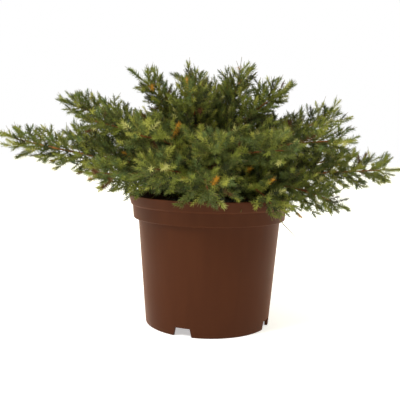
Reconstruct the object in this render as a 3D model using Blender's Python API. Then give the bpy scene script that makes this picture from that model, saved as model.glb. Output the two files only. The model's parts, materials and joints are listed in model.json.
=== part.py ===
"""A potted dwarf Japanese garden juniper: a low, spreading, needled shrub in a round nursery pot.

Metres, +Z up. The origin is the centre of the pot's underside, on the surface it stands on.
-Y is the front and +X the right, as someone standing before the shrub sees them.
The crown is a short stem, boughs in three tiers, and a mass of foliage that grows from each bough.
"""

import math
import random
from collections import namedtuple

import bmesh
import bpy
import numpy as np
from mathutils import Vector
from mathutils.bvhtree import BVHTree

# The air left between two pieces that touch, and how close two points of a mesh are one point
GAP = 0.0003
WELD = 0.000001

# The pot, a moulded three-litre nursery pot: radii and heights of its outer side
POT_SIDES = 32
POT_HEIGHT = 0.152
RIM_RADIUS = 0.095
LIP_ROUND = 0.0010
BAND_RADIUS = 0.0922
BAND_FOOT = 0.1410
COLLAR_RADIUS = 0.0902
COLLAR_STEP = 0.0016
COLLAR_FOOT_RADIUS = 0.0889
COLLAR_FOOT = 0.1245
BODY_TOP_RADIUS = 0.0833
FOOT_RADIUS = 0.0732
FOOT_ROUND = 0.0014
WALL = 0.0021

# The pot's base, lifted off the ground on its foot ring, and the pad at its middle
BASE_LIFT = 0.011
BASE_TOP = 0.013
PAD_RADIUS = 0.018
PAD_DRAFT = 0.0008

# Drainage: notches through the foot ring, and a hole in the base near each of them
NOTCH_COUNT = 4
NOTCH_TURN = math.radians(67.6)
NOTCH_FOOT_WIDTH = 0.023
NOTCH_TOP_WIDTH = 0.018
NOTCH_HEIGHT = 0.010
HOLE_RADIUS = 0.006
HOLE_CIRCLE = 0.050
HOLE_SIDES = 8

# The soil, level where the stem stands and slightly rough elsewhere
SOIL_TOP = 0.140
SOIL_LEVEL_RADIUS = 0.020
SOIL_ROUGHNESS = 0.0016
SOIL_RINGS = (0.045, 0.066)
SOIL_SEED = 4

# The stem: from a flat cut at the soil to the point where the topmost growth starts
TRUNK_SIDES = 9
TRUNK_TOP = 0.222
TRUNK_RADIUS = 0.0070
TRUNK_TOP_RADIUS = 0.0034
TRUNK_LEAN = Vector((-0.006, -0.003, 0.0))
TRUNK_WAVE = 0.0018
FLARE_RADIUS = 0.0052
FLARE_HEIGHT = 0.0075
FLARE_LOBES = 3
LOBE_SHARE = 0.22
TRUNK_RING_HEIGHTS = (0.0, 0.004, 0.010, 0.020, 0.036, 0.052, 0.068)

# Boughs and the stems that the masses grow from
BOUGH_SIDES = 5
BOUGH_RINGS = 5
BOUGH_TAPER = 0.62
COLLAR_SHARE = 1.15
COLLAR_GAP = 0.0005
STEM_SIDES = 3
STEM_RINGS = 4
STEM_TIP_RADIUS = 0.0009
SWING = math.radians(11)

# A shoot: a thin twig that ends in a spray of needles
TWIG_RADIUS = 0.0013
TWIG_ROOT_SINK = 0.0012
SPRAY_LENGTH = 0.038
SPRAY_WIDTH = 0.0135
SPRAY_CORE = 0.0023
NEEDLE_REACH = 0.0105
SPRAY_MIDDLE = 0.55
SHORTEST_BARE = 0.0015
SPRAY_BALLS = ((0.15, 0.35), (0.3, 0.9), (0.42, 1), (0.55, 1), (0.7, 0.85), (0.85, 0.8), (1, 0.1))

# How shoots stand on a stem
STATION_PITCH = 0.037
FIRST_STATION = 0.012
LEAN = math.radians(50)
ROLLS = (0, 78, 180, 270)
ROLL_SPREAD = math.radians(16)
UPRIGHT_LENGTH = 0.034
CLEARANCE = 0.0012

# The core of a mass: its share of the stem's length, and how it is drawn in to miss a neighbour
CORE_SIDES = 6
CORE_BANDS = 5
CORE_SHARE = 0.42
CORE_MIDDLE = 0.42
CORE_ROOM = 0.0022
CORE_DRAW_IN = 0.86
CORE_TRIES = 16

# A spray starts this far outside the core, and isn't cut shorter than this
CORE_SKIN = 0.001
CORE_LIMIT = 0.06
SHORTEST_SPRAY = 0.024
CUT_BACKS = (1.0, 0.82, 0.66)
CROWDING = 0.75

# A tier of boughs: the height where its lowest bough leaves the stem, the step up to the next,
# the levels that the boughs share, the radius of a bough's root, how far out a bough ends,
# half the width of a mass, and the half width and half thickness of a mass's core
Tier = namedtuple("Tier", "name start step levels root split spread core_width core_thick boughs")

# A bough: its name, its bearing in degrees from +X towards +Y, how far the tip of its mass
# stands from the pot's axis, the tip's height, and how far the curve rises above a straight
# line at its first and at its last third
LOW = (
    ("right_back", 24, 0.213, 0.200, 0.010, 0.006),
    ("back_right", 56, 0.204, 0.204, 0.014, 0.008),
    ("back", 90, 0.198, 0.208, 0.012, 0.008),
    ("back_left", 124, 0.204, 0.212, 0.012, 0.006),
    ("left_back", 154, 0.220, 0.222, 0.008, 0.002),
    ("left", 183, 0.250, 0.219, 0.006, -0.006),
    ("left_front", 218, 0.164, 0.178, 0.014, 0.012),
    ("front_left", 245, 0.160, 0.188, 0.012, 0.006),
    ("front", 269, 0.152, 0.158, 0.018, 0.022),
    ("front_right", 304, 0.128, 0.137, 0.024, 0.034),
    ("right_front", 332, 0.168, 0.143, 0.018, 0.026),
    ("right", 358, 0.226, 0.187, 0.004, 0.000),
)
MIDDLE = (
    ("left", 168, 0.194, 0.263, 0.008, 0.004),
    ("left_front", 198, 0.158, 0.238, 0.012, 0.008),
    ("front_left", 234, 0.146, 0.220, 0.008, 0.008),
    ("front", 271, 0.142, 0.206, 0.008, 0.010),
    ("front_right", 307, 0.146, 0.206, 0.008, 0.010),
    ("right_front", 339, 0.168, 0.218, 0.008, 0.008),
    ("right", 8, 0.160, 0.251, 0.008, 0.004),
    ("back_right", 52, 0.152, 0.242, 0.008, 0.006),
    ("back_left", 118, 0.152, 0.246, 0.008, 0.006),
)
HIGH = (
    ("right_side", 342, 0.100, 0.280, 0.008, 0.004),
    ("right", 8, 0.052, 0.305, 0.004, 0.002),
    ("left", 184, 0.097, 0.296, 0.006, 0.002),
    ("back", 78, 0.090, 0.286, 0.010, 0.006),
    ("front", 252, 0.084, 0.277, 0.010, 0.006),
)
TIERS = (
    Tier("low", 0.152, 0.0080, 3, 0.0027, 0.046, 0.050, 0.033, 0.019, LOW),
    Tier("middle", 0.178, 0.0075, 3, 0.0023, 0.028, 0.046, 0.033, 0.022, MIDDLE),
    Tier("high", 0.2025, 0.0075, 2, 0.0019, 0.016, 0.036, 0.024, 0.018, HIGH),
)
CROWN_TIP = Vector((-0.030, -0.010, 0.306))

POT_COLOUR = "#553322"
SOIL_COLOUR = "#1A1915"
BARK_COLOUR = "#8A5A35"
FOLIAGE_COLOUR = "#5E6531"

Z = Vector((0.0, 0.0, 1.0))


def clear_scene():
    for thing in list(bpy.data.objects):
        bpy.data.objects.remove(thing, do_unlink=True)


def linear(hex_colour):
    """A hex colour as the linear numbers that a shader takes."""
    values = [int(hex_colour[i : i + 2], 16) / 255 for i in (1, 3, 5)]
    return [v / 12.92 if v <= 0.04045 else ((v + 0.055) / 1.055) ** 2.4 for v in values]


def make_material(name, hex_colour, roughness):
    material = bpy.data.materials.new(name)
    material.use_nodes = True
    shader = material.node_tree.nodes["Principled BSDF"]
    shader.inputs["Base Color"].default_value = (*linear(hex_colour), 1.0)
    shader.inputs["Roughness"].default_value = roughness
    shader.inputs["Metallic"].default_value = 0.0
    return material


def make_object(name, points, faces, material=None, smooth=False):
    """An object of its own mesh, with every face turned outwards."""
    mesh = bpy.data.meshes.new(name)
    mesh.from_pydata([tuple(point) for point in points], [], faces)
    shape = bmesh.new()
    shape.from_mesh(mesh)
    bmesh.ops.recalc_face_normals(shape, faces=shape.faces)
    shape.to_mesh(mesh)
    shape.free()
    if smooth:
        mesh.shade_smooth()
        mesh.set_sharp_from_angle(angle=math.radians(35))
    if material:
        mesh.materials.append(material)
    thing = bpy.data.objects.new(name, mesh)
    bpy.context.scene.collection.objects.link(thing)
    return thing


def turned(profile, sides):
    """Points and faces of a shape turned round Z. The profile's two ends lie on the axis."""
    rings = profile[1:-1]
    points = [(0, 0, profile[0][1]), (0, 0, profile[-1][1])]
    for radius, height in rings:
        for side in range(sides):
            angle = math.tau * side / sides
            points.append((radius * math.cos(angle), radius * math.sin(angle), height))

    def index(ring, side):
        return 2 + ring * sides + side % sides

    faces = []
    for side in range(sides):
        faces.append((0, index(0, side), index(0, side + 1)))
        faces.append((1, index(len(rings) - 1, side + 1), index(len(rings) - 1, side)))
        for ring in range(len(rings) - 1):
            low, high = index(ring, side), index(ring, side + 1)
            faces.append((low, index(ring + 1, side), index(ring + 1, side + 1), high))
    return points, faces


def pot_inside(inset):
    """The inner side of the pot from its base to its lip, moved in by an inset."""
    return [
        (FOOT_RADIUS - WALL - inset, BASE_TOP + inset),
        (BODY_TOP_RADIUS - WALL - inset, COLLAR_FOOT + WALL * 0.5),
        (COLLAR_FOOT_RADIUS - WALL - inset, COLLAR_FOOT + WALL * 2),
        (COLLAR_RADIUS - WALL - inset, BAND_FOOT - COLLAR_STEP),
    ]


def make_pot(material):
    inside = [(0, BASE_TOP)] + pot_inside(0.0)
    inside.append((BAND_RADIUS - WALL, BAND_FOOT + COLLAR_STEP))
    inside.append((RIM_RADIUS - WALL, POT_HEIGHT - LIP_ROUND))
    lip = [(RIM_RADIUS - LIP_ROUND, POT_HEIGHT), (RIM_RADIUS, POT_HEIGHT - LIP_ROUND)]
    outside = [
        (BAND_RADIUS, BAND_FOOT),
        (COLLAR_RADIUS, BAND_FOOT - COLLAR_STEP),
        (COLLAR_FOOT_RADIUS, COLLAR_FOOT + COLLAR_STEP),
        (COLLAR_FOOT_RADIUS - COLLAR_STEP, COLLAR_FOOT),
        (BODY_TOP_RADIUS, COLLAR_FOOT),
        (FOOT_RADIUS, FOOT_ROUND),
        (FOOT_RADIUS - FOOT_ROUND, 0),
    ]
    underside = [
        (FOOT_RADIUS - FOOT_ROUND - WALL, 0),
        (FOOT_RADIUS - FOOT_ROUND - WALL, BASE_LIFT),
        (PAD_RADIUS + PAD_DRAFT, BASE_LIFT),
        (PAD_RADIUS, 0),
        (0, 0),
    ]
    points, faces = turned(inside + lip + outside + underside, POT_SIDES)
    pot = make_object("pot", points, faces, material, smooth=True)
    cutters = bpy.data.collections.new("pot_cutters")
    bpy.context.scene.collection.children.link(cutters)
    for number in range(NOTCH_COUNT):
        turn = NOTCH_TURN + math.tau * number / NOTCH_COUNT
        for cutter in (notch_cutter(number, turn), hole_cutter(number, turn)):
            bpy.context.scene.collection.objects.unlink(cutter)
            cutters.objects.link(cutter)
            cutter.display_type = "WIRE"
            cutter.hide_render = True
    cut = pot.modifiers.new("drainage", "BOOLEAN")
    cut.operation = "DIFFERENCE"
    cut.operand_type = "COLLECTION"
    cut.collection = cutters
    cut.solver = "EXACT"


def notch_cutter(number, turn):
    """A wedge through the foot ring, narrower at its top than at the ground."""
    inner, outer, below = FOOT_RADIUS - 4 * WALL, FOOT_RADIUS + 3 * WALL, -0.003
    corners = []
    for radius in (inner, outer):
        for height, width in ((below, NOTCH_FOOT_WIDTH), (NOTCH_HEIGHT, NOTCH_TOP_WIDTH)):
            corners += [(radius, -width / 2, height), (radius, width / 2, height)]
    faces = [(0, 1, 3, 2), (4, 6, 7, 5), (0, 4, 5, 1), (2, 3, 7, 6), (0, 2, 6, 4), (1, 5, 7, 3)]
    cutter = make_object(f"notch_cutter_{number}", corners, faces)
    cutter.rotation_euler.z = turn
    return cutter


def hole_cutter(number, turn):
    """A round plug through the base, in line with a notch."""
    profile = [(0, BASE_LIFT - WALL), (HOLE_RADIUS, BASE_LIFT - WALL)]
    profile += [(HOLE_RADIUS, BASE_TOP + WALL), (0, BASE_TOP + WALL)]
    points, faces = turned(profile, HOLE_SIDES)
    cutter = make_object(f"hole_cutter_{number}", points, faces)
    cutter.location = (HOLE_CIRCLE * math.cos(turn), HOLE_CIRCLE * math.sin(turn), 0)
    return cutter


def make_soil(material):
    wall = pot_inside(GAP)
    edge = wall[-1][0]
    profile = [(0, wall[0][1])] + wall + [(edge, SOIL_TOP - GAP)]
    for radius in reversed(SOIL_RINGS):
        profile.append((radius, SOIL_TOP))
    profile += [(SOIL_LEVEL_RADIUS, SOIL_TOP), (0, SOIL_TOP)]
    points, faces = turned(profile, POT_SIDES // 2)
    rng = random.Random(SOIL_SEED)
    rough = []
    for x, y, z in points:
        inside = SOIL_LEVEL_RADIUS * 1.1 < math.hypot(x, y) < edge * 0.99
        drop = rng.random() * SOIL_ROUGHNESS if inside and z == SOIL_TOP else 0.0
        rough.append((x, y, z - drop))
    make_object("soil", rough, faces, material)


class Path:
    """A smooth curve between four corners, read by the distance along it."""

    def __init__(self, corners, count=60):
        first, second, third, last = (np.array(corner, float) for corner in corners)
        share = np.linspace(0, 1, count)[:, None]
        rest = 1 - share
        self.points = first * rest**3 + 3 * second * share * rest**2
        self.points += 3 * third * share**2 * rest + last * share**3
        legs = np.linalg.norm(np.diff(self.points, axis=0), axis=1)
        self.marks = np.concatenate([[0.0], np.cumsum(legs)])
        self.length = float(self.marks[-1])

    def at(self, distance):
        return Vector([float(np.interp(distance, self.marks, row)) for row in self.points.T])

    def heading(self, distance):
        step = self.length / 30
        return (self.at(distance + step) - self.at(distance - step)).normalized()

    def distance_at_radius(self, radius):
        """How far along the curve it first stands this far from the pot's axis."""
        beyond = np.hypot(self.points[:, 0], self.points[:, 1]) >= radius
        return float(self.marks[int(np.argmax(beyond))])


def across(heading, reference=Z):
    """The side and the upper direction of something that runs along a heading."""
    if abs(heading.dot(reference)) > 0.95:
        reference = Vector((1.0, 0.0, 0.0))
    side = heading.cross(reference).normalized()
    return side, side.cross(heading).normalized()


def tube(spine, headings, radii, sides):
    """Points and faces of a closed tapering tube, one ring of points for each point of its spine."""
    points = []
    for centre, heading, radius in zip(spine, headings, radii):
        side, up = across(heading)
        for number in range(sides):
            angle = math.tau * number / sides
            points.append(centre + radius * (math.cos(angle) * side + math.sin(angle) * up))
    faces = [tuple(range(sides)), tuple(range(len(points) - sides, len(points)))]
    for ring in range(len(spine) - 1):
        for number in range(sides):
            here = ring * sides + number
            beside = ring * sides + (number + 1) % sides
            faces.append((here, beside, beside + sides, here + sides))
    return points, faces


def trunk_axis(height):
    """The middle of the stem at a height above the ground: it leans, and bends once on the way."""
    share = (height - SOIL_TOP) / (TRUNK_TOP - SOIL_TOP)
    wave = TRUNK_WAVE * math.sin(math.tau * share)
    return TRUNK_LEAN * share + Vector((0.5 * wave, wave, height))


def trunk_radius(height):
    share = (height - SOIL_TOP) / (TRUNK_TOP - SOIL_TOP)
    taper = TRUNK_RADIUS + (TRUNK_TOP_RADIUS - TRUNK_RADIUS) * share
    return taper + FLARE_RADIUS * math.exp(-(height - SOIL_TOP) / FLARE_HEIGHT)


def bark_radius(height, angle):
    """How far the bark stands from the stem's middle on a bearing, with the root lobes at its foot."""
    fade = math.exp((SOIL_TOP + GAP - height) / FLARE_HEIGHT)
    return trunk_radius(height) * (1 + LOBE_SHARE * math.cos(FLARE_LOBES * angle) * fade)


def make_trunk(material, space):
    """The stem, with root lobes that spread where it meets the soil."""
    foot = SOIL_TOP + GAP
    heights = [foot + rise for rise in TRUNK_RING_HEIGHTS] + [TRUNK_TOP]
    spine = [trunk_axis(height) for height in heights]
    points, faces = tube(spine, [Z] * len(spine), [1.0] * len(spine), TRUNK_SIDES)
    shaped = []
    for number, point in enumerate(points):
        height = heights[number // TRUNK_SIDES]
        centre = spine[number // TRUNK_SIDES]
        angle = math.atan2(point.y - centre.y, point.x - centre.x)
        shaped.append(centre + (point - centre) * bark_radius(height, angle))
    make_object("trunk", shaped, faces, material, smooth=True)
    fine = np.linspace(foot, TRUNK_TOP, 40)
    space.claim("trunk", [trunk_axis(z) for z in fine], [trunk_radius(z) for z in fine])


class Space:
    """What each piece of the plant takes up, as balls along its middle line."""

    def __init__(self):
        self.owners = []
        self.centres = np.empty((0, 3))
        self.radii = np.empty(0)
        self.stems = {}

    def claim(self, owner, centres, radii):
        self.owners += [owner] * len(centres)
        self.centres = np.vstack([self.centres, np.array(centres, float)])
        self.radii = np.concatenate([self.radii, np.array(radii, float)])

    def is_free(self, owner, centres, radii, clearance):
        """Whether the balls keep clear of every other piece, of the pot and of the soil."""
        centres, radii = np.array(centres, float), np.array(radii, float)
        other = np.array([name != owner for name in self.owners])
        apart = np.linalg.norm(centres[:, None] - self.centres[None, other], axis=2)
        if (apart - radii[:, None] - self.radii[None, other]).min() < clearance:
            return False
        above = centres[:, 2] - radii > POT_HEIGHT + clearance
        outside = np.hypot(centres[:, 0], centres[:, 1]) - radii > RIM_RADIUS + clearance
        return bool((above | outside).all())

    def blocked(self, owner, centres, room):
        """For each point, whether a ball there leaves its mass's space or meets another piece."""
        other = np.array([name != owner for name in self.owners])
        apart = np.linalg.norm(centres[:, None] - self.centres[None, other], axis=2)
        near = (apart - self.radii[None, other]).min(axis=1) < room
        inside = np.hypot(centres[:, 0], centres[:, 1]) < RIM_RADIUS + room
        near |= inside & (centres[:, 2] < POT_HEIGHT + room)
        stems = {
            name: np.linalg.norm(centres[:, None] - stem[None], axis=2).min(axis=1)
            for name, stem in self.stems.items()
        }
        own = stems.pop(owner)
        for distance in stems.values():
            near |= own + room > distance
        return near

    def is_home(self, owner, centres):
        """Whether each point lies nearer to its own mass's stem than to any other's."""
        centres = np.array(centres, float)
        nearest = {
            name: np.linalg.norm(centres[:, None] - stem[None], axis=2).min(axis=1)
            for name, stem in self.stems.items()
        }
        own = nearest.pop(owner)
        return all((own < distance).all() for distance in nearest.values())


def bough_path(tier, number, row):
    """The curve from the stem's bark to the tip of a bough's mass."""
    _, bearing, reach, height, lift, nod = row
    swing = SWING if number % 2 else -SWING
    start_height = tier.start + tier.step * (number % tier.levels)
    toward = math.radians(bearing) + swing
    out = Vector((math.cos(toward), math.sin(toward), 0.0))
    widest = bark_radius(start_height - tier.root * COLLAR_SHARE, toward)
    start = trunk_axis(start_height) + out * (widest + COLLAR_GAP)
    tip_turn = math.radians(bearing)
    tip = Vector((reach * math.cos(tip_turn), reach * math.sin(tip_turn), height))
    run = (tip - start).length
    climb = Z * (tip.z - start.z)
    second = start + out * run * 0.33 + climb * 0.33 + Z * lift
    back = math.radians(bearing) - swing * 0.4
    inward = Vector((math.cos(back), math.sin(back), 0.0))
    third = tip - inward * run * 0.33 - climb * 0.33 + Z * nod
    return Path((start, second, third, tip)), out


def make_bough(name, path, out, root, end, material, space):
    """A tapering limb, with a collar where it leaves the stem."""
    marks = [end * (number / (BOUGH_RINGS - 1)) for number in range(BOUGH_RINGS)]
    headings = [out] + [path.heading(mark) for mark in marks[1:]]
    radii = [root * (1 - (1 - BOUGH_TAPER) * mark / end) for mark in marks]
    radii[0] *= COLLAR_SHARE
    spine = [path.at(mark) for mark in marks]
    points, faces = tube(spine, headings, radii, BOUGH_SIDES)
    make_object(name, points, faces, material, smooth=True)
    fine = np.linspace(0, end, 40)
    space.claim(name, [path.at(mark) for mark in fine], [root] * len(fine))


Mass = namedtuple("Mass", "name path start end root spread core_width core_thick seed")


def stem_of(mass):
    """The stem that a mass grows from."""
    marks = [
        mass.start + (mass.end - mass.start) * number / (STEM_RINGS - 1)
        for number in range(STEM_RINGS)
    ]
    radii = [
        mass.root + (STEM_TIP_RADIUS - mass.root) * number / (STEM_RINGS - 1)
        for number in range(STEM_RINGS)
    ]
    spine = [mass.path.at(mark) for mark in marks]
    return tube(spine, [mass.path.heading(mark) for mark in marks], radii, STEM_SIDES)


def shoot(root, heading, turned_by, bare, spray, width):
    """A three-sided twig, bare at first, whose end is a slim core with faces drawn out to needles."""
    side, up = across(heading)

    def ring(distance, radius, turn):
        centre = root + heading * distance
        angles = [math.tau * (number + turn + turned_by) / 3 for number in range(3)]
        return [centre + radius * (math.cos(a) * side + math.sin(a) * up) for a in angles]

    middle = bare + spray * SPRAY_MIDDLE
    points = ring(-TWIG_ROOT_SINK, TWIG_RADIUS, 0.0) + ring(bare, TWIG_RADIUS, 0.0)
    points += ring(middle, SPRAY_CORE, 0.5) + [root + heading * (bare + spray)]
    faces = [(2, 1, 0)]
    needled = []
    for here in range(3):
        beside = (here + 1) % 3
        faces.append((here, beside, beside + 3, here + 3))
        faces.append((here + 6, beside + 6, 9))
        needled.append((here + 3, beside + 3, here + 6))
        needled.append((here + 6, beside + 3, beside + 6))
    for face in needled:
        offset = sum((points[corner] for corner in face), Vector()) / 3 - root
        along = offset.dot(heading)
        outward = (offset - heading * along).normalized()
        tip = root + heading * (along + NEEDLE_REACH) + outward * width / 2
        points.append(tip)
        last = len(points) - 1
        for first, second in ((0, 1), (1, 2), (2, 0)):
            faces.append((face[first], face[second], last))
    return points, faces


def shoot_balls(root, heading, bare, spray, width):
    """The balls that a shoot takes up beyond its root."""
    centres, radii = [], []
    for mark in np.arange(TWIG_RADIUS * 2, bare, TWIG_RADIUS * 3):
        centres.append(root + heading * float(mark))
        radii.append(TWIG_RADIUS)
    for share, fullness in SPRAY_BALLS:
        centres.append(root + heading * (bare + spray * share))
        radii.append(width / 2 * fullness)
    return centres, radii


def crowded(centres, radii, taken):
    """Whether a spray would run deep into another spray of its own mass."""
    return any(
        (centre - other).length < (radius + room) * CROWDING
        for centre, radius in zip(centres, radii)
        for other, room in taken
    )


def plan_shoots(mass, core, space):
    """The shoots of one mass by a seeded rule, less those that would leave its space."""
    rng = random.Random(mass.seed)
    skin = BVHTree.FromPolygons(*core)
    shoots, taken = [], []

    def offer(root, heading, reach):
        """A shoot with its needles clear of the core, cut back until there is room for it."""
        depth = skin.ray_cast(root, heading)[3]
        bare = SHORTEST_BARE
        if depth and depth < CORE_LIMIT:
            bare = depth + CORE_SKIN
        turned_by = rng.random()
        for cut in CUT_BACKS:
            bare_now = max(bare, reach * cut - SPRAY_LENGTH)
            spray = max(reach * cut - bare_now, SHORTEST_SPRAY)
            width = SPRAY_WIDTH * (0.6 + 0.4 * spray / SPRAY_LENGTH)
            centres, radii = shoot_balls(root, heading, bare_now, spray, width)
            if not space.is_home(mass.name, centres[-4:]):
                continue
            if not space.is_free(mass.name, centres, radii, CLEARANCE):
                continue
            if crowded(centres[-6:], radii[-6:], taken):
                continue
            space.claim(mass.name, centres, radii)
            taken.extend(zip(centres[-6:], radii[-6:]))
            shoots.append(shoot(root, heading, turned_by, bare_now, spray, width))
            return

    tip_root = mass.path.at(mass.end - TWIG_ROOT_SINK)
    tip_heading = (mass.path.at(mass.path.length) - tip_root).normalized()
    offer(tip_root, tip_heading, (mass.path.at(mass.path.length) - tip_root).length)
    span = mass.end - mass.start
    stations = max(2, round((span - FIRST_STATION) / STATION_PITCH) + 1)
    for number in range(stations):
        mark = mass.start + FIRST_STATION + (span - FIRST_STATION) * number / stations
        heading = mass.path.heading(mark)
        side, up = across(heading)
        fullness = 1 - 0.55 * (number / stations) ** 1.5
        for place, roll_degrees in enumerate(ROLLS):
            if roll_degrees == 270 and number % 2:
                continue
            root = mass.path.at(mark + STATION_PITCH * place / len(ROLLS))
            sideways = roll_degrees in (0, 180)
            roll = math.radians(roll_degrees) + rng.uniform(-ROLL_SPREAD, ROLL_SPREAD)
            lean = LEAN + rng.uniform(-0.5, 0.5) * ROLL_SPREAD
            out = side * math.cos(roll) + up * math.sin(roll)
            twig = (heading * math.cos(lean) + out * math.sin(lean)).normalized()
            total = mass.spread * fullness / math.sin(lean) if sideways else UPRIGHT_LENGTH
            total *= rng.uniform(0.88, 1.1)
            offer(root, twig, total)
    return shoots


def core_of(mass, space):
    """A lumpy core round the stem of a dense mass, drawn in wherever it would meet another piece."""
    span = mass.end - mass.start
    middle = mass.start + span * CORE_MIDDLE
    heading = mass.path.heading(middle)
    side, up = across(heading)
    axes = np.array([side * mass.core_width, up * mass.core_thick, heading * span * CORE_SHARE])
    centre = np.array(mass.path.at(middle))
    ball = bmesh.new()
    bmesh.ops.create_uvsphere(ball, u_segments=CORE_SIDES, v_segments=CORE_BANDS, radius=1.0)
    bmesh.ops.triangulate(ball, faces=ball.faces)
    directions = np.array([vert.co for vert in ball.verts])
    faces = [tuple(vert.index for vert in face.verts) for face in ball.faces]
    ball.free()
    rng = random.Random(mass.seed)
    reach = np.array([rng.uniform(0.82, 1.12) for _ in directions])
    corners = np.array(faces)
    for _ in range(CORE_TRIES):
        points = centre + (directions * reach[:, None]) @ axes
        blocked = space.blocked(mass.name, points[corners].mean(axis=1), CORE_ROOM)
        blocked |= space.blocked(mass.name, points, CORE_ROOM)[corners].any(axis=1)
        if not blocked.any():
            break
        reach[np.unique(corners[blocked])] *= CORE_DRAW_IN
    space.claim(mass.name, points, [CORE_ROOM] * len(points))
    return points, faces


def largest_shell(mesh):
    """A mesh as triangles, with everything but its largest closed surface taken away."""
    shape = bmesh.new()
    shape.from_mesh(mesh)
    bmesh.ops.triangulate(shape, faces=shape.faces)
    bmesh.ops.remove_doubles(shape, verts=shape.verts, dist=WELD)
    bmesh.ops.dissolve_degenerate(shape, edges=shape.edges, dist=WELD)
    bmesh.ops.triangulate(shape, faces=shape.faces)
    unseen = set(shape.faces)
    shells = []
    while unseen:
        front = [unseen.pop()]
        faces = set(front)
        while front:
            for edge in front.pop().edges:
                beside = [face for face in edge.link_faces if face in unseen]
                unseen.difference_update(beside)
                faces.update(beside)
                front += beside
        volume = 0.0
        for face in faces:
            first, second, third = (loop.vert.co for loop in face.loops)
            volume += first.dot(second.cross(third)) / 6
        shells.append((volume, faces))
    largest = max(shells, key=lambda shell: shell[0])
    scraps = [face for shell in shells if shell is not largest for face in shell[1]]
    bmesh.ops.delete(shape, geom=scraps, context="FACES")
    return shape


def is_closed(shape):
    """Whether every edge has two faces, every point one fan of faces, and no point stands on another."""
    edges = all(len(edge.link_faces) == 2 for edge in shape.edges)
    return edges and all(vert.is_manifold for vert in shape.verts)


def closed_union(whole, union):
    """The mesh that a union leaves, by whichever solver closes it, or None where neither does."""
    for solver in ("EXACT", "MANIFOLD"):
        union.solver = solver
        graph = bpy.context.evaluated_depsgraph_get()
        joined = bpy.data.meshes.new_from_object(whole.evaluated_get(graph), depsgraph=graph)
        shape = largest_shell(joined)
        closed = is_closed(shape)
        shape.to_mesh(joined)
        shape.free()
        if closed:
            return joined
    return None


def join(name, pieces, material):
    """One object from overlapping closed pieces: their union, with loose scraps and sealed hollows gone."""
    whole = make_object(name, *pieces[0], material)
    extra = bpy.data.collections.new(name + "_pieces")
    bpy.context.scene.collection.children.link(extra)
    for number, (points, faces) in enumerate(pieces[1:]):
        piece = make_object(f"{name}_piece_{number}", points, faces)
        bpy.context.scene.collection.objects.unlink(piece)
        extra.objects.link(piece)
    union = whole.modifiers.new("union", "BOOLEAN")
    union.operation = "UNION"
    union.operand_type = "COLLECTION"
    union.collection = extra
    joined = closed_union(whole, union)
    spares = list(extra.objects)
    while joined is None:
        left_out = spares.pop()
        extra.objects.unlink(left_out)
        joined = closed_union(whole, union)
        if joined is None:
            extra.objects.link(left_out)
        else:
            bpy.data.objects.remove(left_out, do_unlink=True)
    whole.modifiers.remove(union)
    whole.data = joined
    for piece in list(extra.objects):
        bpy.data.objects.remove(piece, do_unlink=True)
    bpy.data.collections.remove(extra)


def main():
    clear_scene()
    make_pot(make_material("moulded_brown_plastic", POT_COLOUR, 0.42))
    make_soil(make_material("moist_potting_soil", SOIL_COLOUR, 0.95))
    bark = make_material("juniper_bark", BARK_COLOUR, 0.85)
    needles = make_material("juniper_needles", FOLIAGE_COLOUR, 0.60)
    space = Space()
    make_trunk(bark, space)
    masses = []
    for tier in TIERS:
        for number, row in enumerate(tier.boughs):
            name = f"{tier.name}_{row[0]}"
            path, out = bough_path(tier, number, row)
            split = path.distance_at_radius(tier.split)
            make_bough("bough_" + name, path, out, tier.root, split, bark, space)
            end = path.length - SPRAY_LENGTH * 0.85
            shape = (tier.root * BOUGH_TAPER, tier.spread, tier.core_width, tier.core_thick)
            masses.append(Mass("foliage_" + name, path, split + GAP, end, *shape, len(masses) + 11))
    top = trunk_axis(TRUNK_TOP) + Z * GAP
    lean = CROWN_TIP - top
    crown_path = Path((top, top + Z * lean.z * 0.35, CROWN_TIP - Z * lean.z * 0.3, CROWN_TIP))
    end = crown_path.length - SPRAY_LENGTH * 0.85
    masses.append(Mass("foliage_crown", crown_path, 0.0, end, 0.0027, 0.034, 0.022, 0.018, 7))
    for mass in masses:
        marks = np.linspace(mass.start, mass.end, 30)
        stem = [mass.path.at(mark) for mark in marks]
        space.claim(mass.name, stem, [mass.root] * len(stem))
        space.stems[mass.name] = np.array(stem, float)
    cores = [core_of(mass, space) for mass in masses]
    for mass, core in zip(masses, cores):
        join(mass.name, [stem_of(mass), core] + plan_shoots(mass, core, space), needles)


main()
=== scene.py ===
"""The looks of a potted dwarf Japanese garden juniper: its pot, soil, bark, twigs and needles.

Metres, +Z up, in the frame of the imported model. -Y is the front, +X the right.
The foliage grows from the same boughs as the solids, by the same rule, carried on to finer twigs.
"""

import json
import math
import random
from collections import namedtuple

import bmesh
import bpy
import numpy as np
from mathutils import Matrix, Vector, noise

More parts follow.
